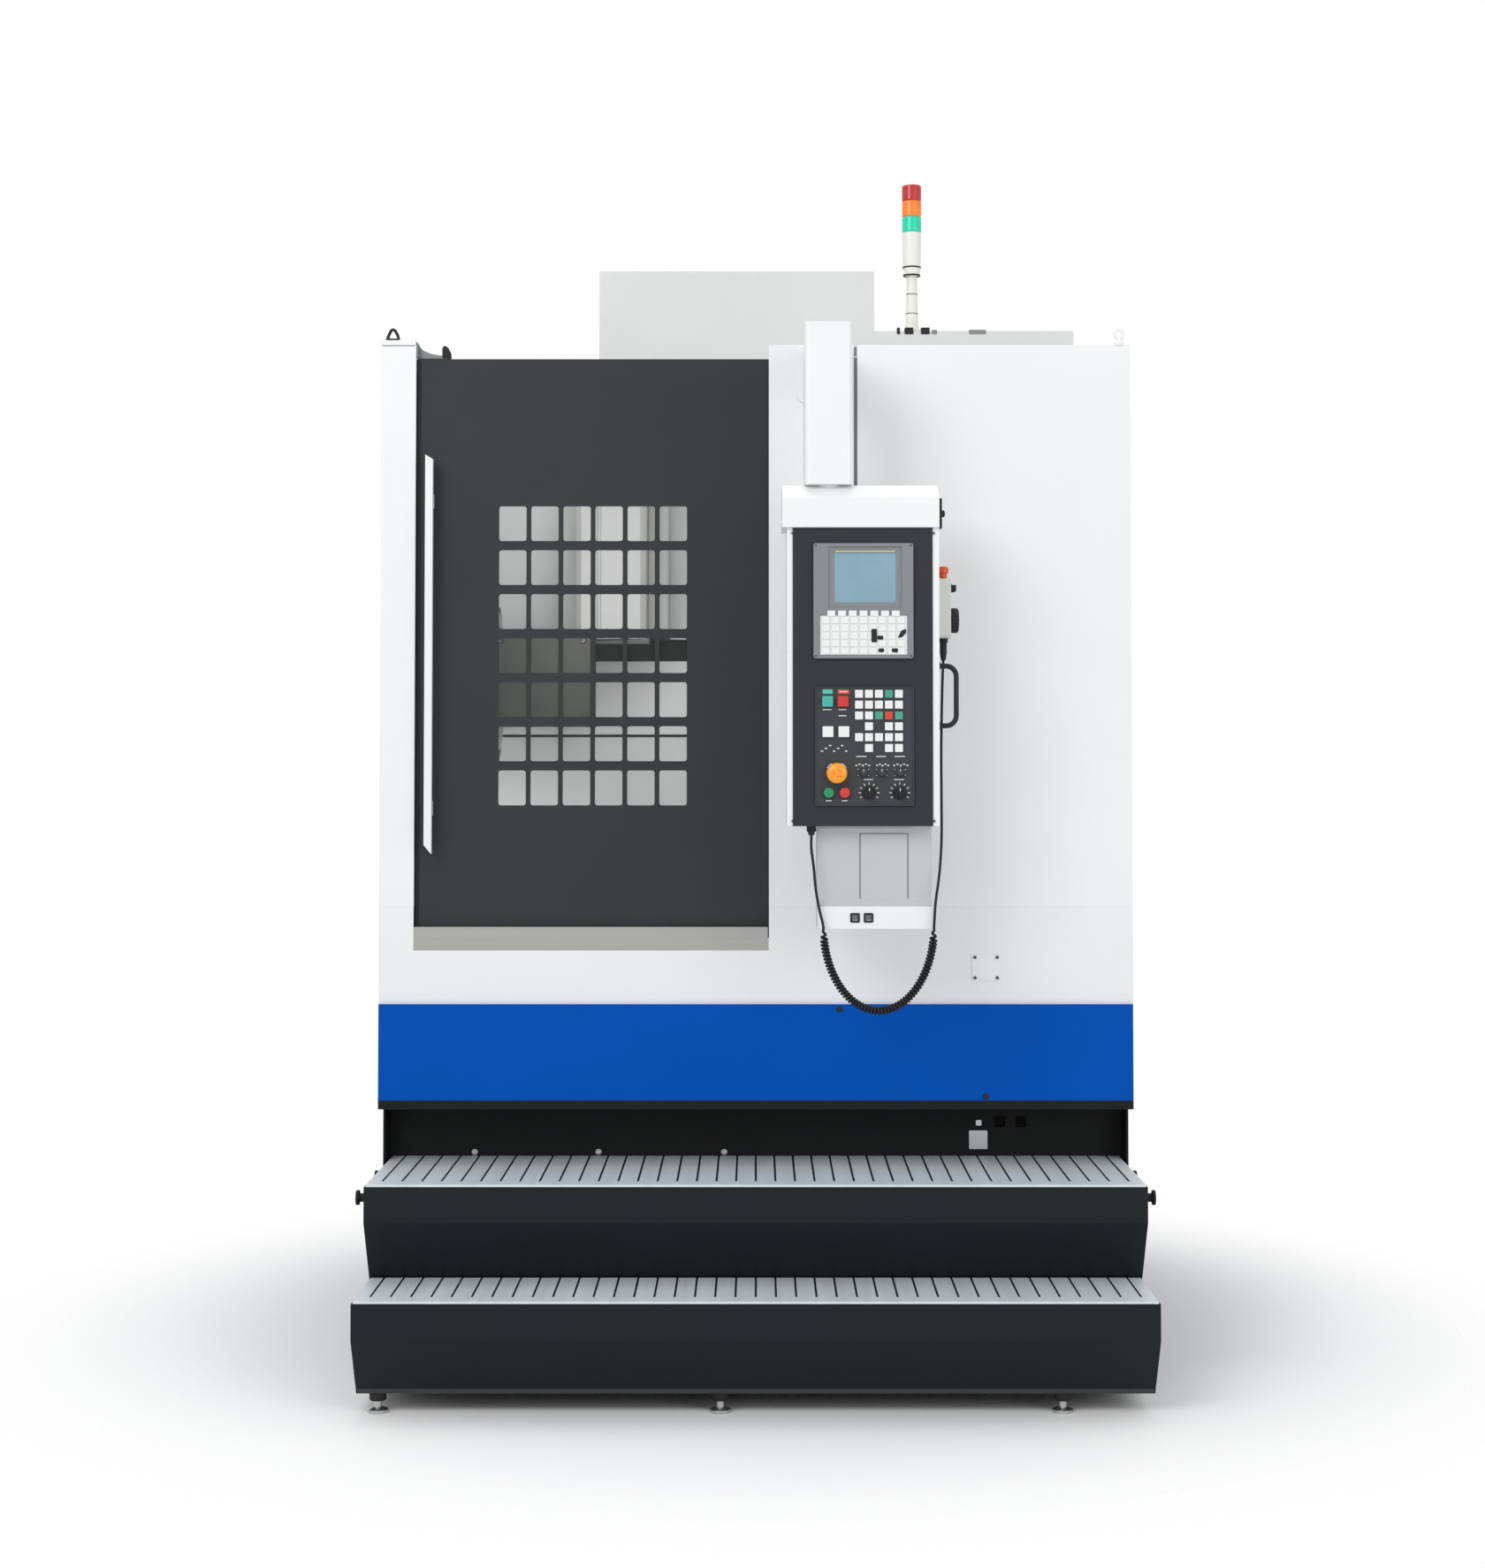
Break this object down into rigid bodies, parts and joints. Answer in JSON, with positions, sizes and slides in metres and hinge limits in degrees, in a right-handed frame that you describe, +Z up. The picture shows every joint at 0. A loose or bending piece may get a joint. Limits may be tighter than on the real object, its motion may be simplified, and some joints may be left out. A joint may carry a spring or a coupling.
{
  "type": "vertical cnc turning lathe",
  "caption": "Tall enclosed vertical turning lathe with sliding windowed door, jaw chuck, tool turret, swivel operator pendant, signal tower and grooved operator steps.",
  "frame": {"origin": "on the floor under the middle of the footprint over steps and body", "axes": "+Z up, front with the door and steps towards -Y, +X to the right seen from the front"},
  "size_m": [2.034, 2.38, 3.22],
  "materials": {
    "white_paint": "satin powder coat",
    "grey_paint": "satin powder coat",
    "charcoal_paint": "satin powder coat",
    "blue_paint": "satin powder coat",
    "black_paint": "fine textured powder coat",
    "step_paint": "fine textured powder coat",
    "tread_metal": "brushed and grooved",
    "casting_paint": "painted casting",
    "machine_grey": "semi gloss machine paint",
    "bright_steel": "ground steel",
    "dark_steel": "blackened tool steel",
    "stainless": "brushed stainless",
    "window": "clear laminated sheet",
    "black_rubber": "matte",
    "black_plastic": "matte moulded",
    "cream_plastic": "matte moulded",
    "green_lens": "tinted lens",
    "amber_lens": "tinted lens",
    "red_lens": "tinted lens",
    "panel_grey": "fine grained",
    "panel_dark": "satin",
    "plate_dark": "printed membrane",
    "screen_glass": "display",
    "key_plastic": "matte moulded",
    "stop_orange": "moulded",
    "stop_red": "moulded",
    "button_green": "moulded",
    "button_red": "moulded",
    "button_teal": "moulded",
    "pulse_grey": "fine grained"
  },
  "bodies": {
    "frame": {"base_casting": "casting_paint", "levelling_feet": "bright_steel", "spindle_housing": "bright_steel", "column": "machine_grey", "chamber_liner": "grey_paint", "way_wiper": "black_rubber", "door_sill": "stainless", "front_apron": "white_paint", "left_panel": "white_paint", "right_front_panel": "white_paint", "right_panel": "white_paint", "blue_band": "blue_paint", "kick_plate": "black_paint", "roof_panel": "grey_paint", "column_hood": "grey_paint", "signal_pole": "cream_plastic", "lamp_green": "green_lens", "lamp_amber": "amber_lens", "lamp_red": "red_lens", "step_frame": "step_paint", "step_treads": "tread_metal", "door_rails": "bright_steel", "cabinet": "grey_paint", "pendant_post": "white_paint"},
    "door": {"door_panel": "charcoal_paint", "door_window": "window", "door_handle": "white_paint"},
    "spindle": {"spindle": "bright_steel", "chuck": "bright_steel"},
    "jaw_1": {"jaw_1": "dark_steel"},
    "jaw_2": {"jaw_2": "dark_steel"},
    "jaw_3": {"jaw_3": "dark_steel"},
    "saddle": {"saddle": "machine_grey", "way_covers": "grey_paint"},
    "ram": {"ram": "machine_grey"},
    "turret": {"turret_disc": "bright_steel", "tool_holders": "dark_steel"},
    "cabinet_door": {"cabinet_door": "white_paint"},
    "main_switch": {"main_switch": "black_plastic"},
    "pendant": {"pendant_box": "white_paint", "pendant_face": "panel_dark", "display_unit": "panel_grey", "screen": "screen_glass", "key_caps": "key_plastic", "operator_plate": "plate_dark", "grab_handle": "black_plastic", "pulse_unit": "pulse_grey", "cord_glands": "black_rubber", "pulse_lead": "black_rubber", "pulse_curl": "black_rubber"},
    "emergency_stop": {"emergency_stop": "stop_orange"},
    "cycle_start": {"cycle_start": "button_green"},
    "feed_hold": {"feed_hold": "button_red"},
    "power_on": {"power_on": "button_teal"},
    "power_off": {"power_off": "button_red"},
    "feed_knob": {"feed_knob": "black_plastic"},
    "speed_knob": {"speed_knob": "black_plastic"},
    "pulse_wheel": {"pulse_wheel": "black_plastic"},
    "pulse_stop": {"pulse_stop": "stop_red"}
  },
  "joints": [
    {"name": "door_slide", "type": "slide", "parent": "frame", "child": "door", "axis": [1, 0, 0], "range_m": [0, 0.85]},
    {"name": "spindle_turn", "type": "hinge", "parent": "frame", "child": "spindle", "pos_m": [-0.4365, -0.06, 1.12], "axis": [0, 0, 1], "continuous": true},
    {"name": "jaw_1_slide", "type": "slide", "parent": "spindle", "child": "jaw_1", "axis": [0, 1, 0], "range_m": [-0.008, 0.008]},
    {"name": "jaw_2_slide", "type": "slide", "parent": "spindle", "child": "jaw_2", "axis": [-0.866, -0.5, 0], "range_m": [-0.008, 0.008]},
    {"name": "jaw_3_slide", "type": "slide", "parent": "spindle", "child": "jaw_3", "axis": [0.866, -0.5, 0], "range_m": [-0.008, 0.008]},
    {"name": "x_travel", "type": "slide", "parent": "frame", "child": "saddle", "axis": [1, 0, 0], "range_m": [-0.05, 0.365]},
    {"name": "z_travel", "type": "slide", "parent": "saddle", "child": "ram", "axis": [0, 0, 1], "range_m": [-0.24, 0.15]},
    {"name": "turret_index", "type": "hinge", "parent": "ram", "child": "turret", "pos_m": [-0.79, -0.06, 1.853], "axis": [1, 0, 0], "continuous": true},
    {"name": "cabinet_door_swing", "type": "hinge", "parent": "frame", "child": "cabinet_door", "pos_m": [0.971, 1.146, 1.8], "axis": [0, 0, 1], "range_deg": [-100, 0]},
    {"name": "main_switch_turn", "type": "hinge", "parent": "cabinet_door", "child": "main_switch", "pos_m": [0.659, 1.153, 2.06], "axis": [0, 1, 0], "range_deg": [0, 90]},
    {"name": "pendant_swivel", "type": "hinge", "parent": "frame", "child": "pendant", "pos_m": [0.184, -0.985, 2.3], "axis": [0, 0, 1], "range_deg": [-90, 25]},
    {"name": "emergency_stop_press", "type": "slide", "parent": "pendant", "child": "emergency_stop", "axis": [0, 1, 0], "range_m": [0, 0.003], "stiffness_N_per_m": 300, "springref_m": -0.003},
    {"name": "cycle_start_press", "type": "slide", "parent": "pendant", "child": "cycle_start", "axis": [0, 1, 0], "range_m": [0, 0.003], "stiffness_N_per_m": 300, "springref_m": -0.003},
    {"name": "feed_hold_press", "type": "slide", "parent": "pendant", "child": "feed_hold", "axis": [0, 1, 0], "range_m": [0, 0.003], "stiffness_N_per_m": 300, "springref_m": -0.003},
    {"name": "power_on_press", "type": "slide", "parent": "pendant", "child": "power_on", "axis": [0, 1, 0], "range_m": [0, 0.003], "stiffness_N_per_m": 300, "springref_m": -0.003},
    {"name": "power_off_press", "type": "slide", "parent": "pendant", "child": "power_off", "axis": [0, 1, 0], "range_m": [0, 0.003], "stiffness_N_per_m": 300, "springref_m": -0.003},
    {"name": "feed_knob_turn", "type": "hinge", "parent": "pendant", "child": "feed_knob", "pos_m": [0.284, -1.071, 1.537], "axis": [0, -1, 0], "range_deg": [-135, 135]},
    {"name": "speed_knob_turn", "type": "hinge", "parent": "pendant", "child": "speed_knob", "pos_m": [0.361, -1.071, 1.537], "axis": [0, -1, 0], "range_deg": [-135, 135]},
    {"name": "pulse_wheel_turn", "type": "hinge", "parent": "pendant", "child": "pulse_wheel", "pos_m": [0.497, -0.955, 1.976], "axis": [1, 0, 0], "continuous": true},
    {"name": "pulse_stop_press", "type": "slide", "parent": "pendant", "child": "pulse_stop", "axis": [0, 0, -1], "range_m": [0, 0.003], "stiffness_N_per_m": 300, "springref_m": -0.003}
  ],
  "couplings": [
    {"joint": "jaw_2_slide", "follows": "jaw_1_slide", "ratio": 1},
    {"joint": "jaw_3_slide", "follows": "jaw_1_slide", "ratio": 1}
  ]
}
